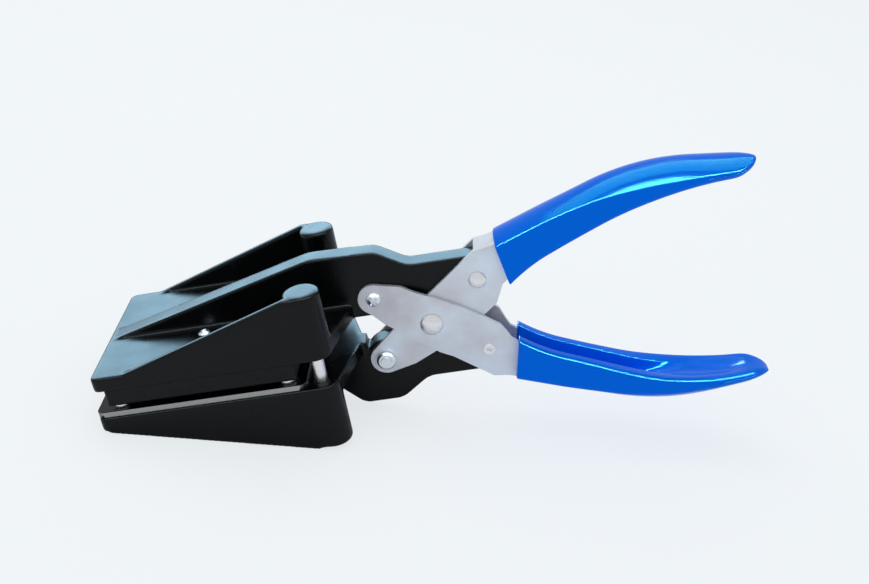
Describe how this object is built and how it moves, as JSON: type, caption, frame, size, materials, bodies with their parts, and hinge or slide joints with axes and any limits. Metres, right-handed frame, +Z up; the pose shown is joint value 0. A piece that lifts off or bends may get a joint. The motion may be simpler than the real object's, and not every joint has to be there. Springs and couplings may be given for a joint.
{
  "type": "hand-held circle paper punch",
  "caption": "Plier-type circle punch: mirrored castings on guide posts with a punch and die between them, closed in parallel by crossed channel handles with dipped grips.",
  "frame": {"origin": "middle of the bounding box on the surface the tool stands on", "axes": "+X from the front lip to the handles, +Y across the head to the right of someone facing the lip from the handles, +Z up"},
  "size_m": [0.2612, 0.07, 0.1205],
  "materials": {
    "black_paint": "satin gloss black paint on a casting",
    "die_steel": "ground tool steel",
    "dark_steel": "blackened steel",
    "bright_steel": "polished steel",
    "plated_screws": "zinc plated",
    "bronze": "plain bronze",
    "spring_steel": "drawn wire",
    "handle_sheet": "satin nickel on pressed sheet",
    "blue_vinyl": "glossy dipped vinyl"
  },
  "bodies": {
    "lower_head": {"lower_head": "black_paint", "die_plate": "die_steel", "guide_block": "dark_steel", "slot_spacers": "bright_steel", "die_screws": "dark_steel", "guide_post_left": "bright_steel", "guide_post_right": "bright_steel"},
    "upper_head": {"upper_head": "black_paint", "punch": "die_steel", "punch_screws": "plated_screws", "post_bush_left": "bronze", "post_bush_right": "bronze", "return_spring_left": "spring_steel", "return_spring_right": "spring_steel"},
    "lower_handle": {"lower_handle": "handle_sheet", "lower_grip": "blue_vinyl", "lower_arm_pin": "bright_steel", "upper_slide_screw": "plated_screws", "upper_slide_nut": "plated_screws", "upper_slide_roller": "plated_screws", "main_rivet": "bright_steel", "pivot_sleeve": "bright_steel"},
    "upper_handle": {"upper_handle": "handle_sheet", "upper_grip": "blue_vinyl", "upper_arm_rivet": "bright_steel", "lower_slide_screw": "plated_screws", "lower_slide_nut": "plated_screws", "lower_slide_roller": "plated_screws"}
  },
  "joints": [
    {"name": "punch_slide", "type": "slide", "parent": "lower_head", "child": "upper_head", "axis": [-0.2498, 0, 0.9683], "range_m": [-0.003, 0], "stiffness_N_per_m": 5000, "springref_m": 0.006, "deforming": ["return_spring_left", "return_spring_right"]},
    {"name": "lower_handle_pivot", "type": "hinge", "parent": "lower_head", "child": "lower_handle", "pos_m": [0.01839, 0, 0.03359], "axis": [0, -1, 0], "range_deg": [0, 4.15]},
    {"name": "handle_cross_pivot", "type": "hinge", "parent": "lower_handle", "child": "upper_handle", "pos_m": [-0.00497, 0, 0.04326], "axis": [0, 1, 0], "range_deg": [0, 8.3]}
  ],
  "couplings": [
    {"joint": "lower_handle_pivot", "follows": "punch_slide", "rad_per_m": -24.117},
    {"joint": "handle_cross_pivot", "follows": "punch_slide", "rad_per_m": -48.235}
  ]
}
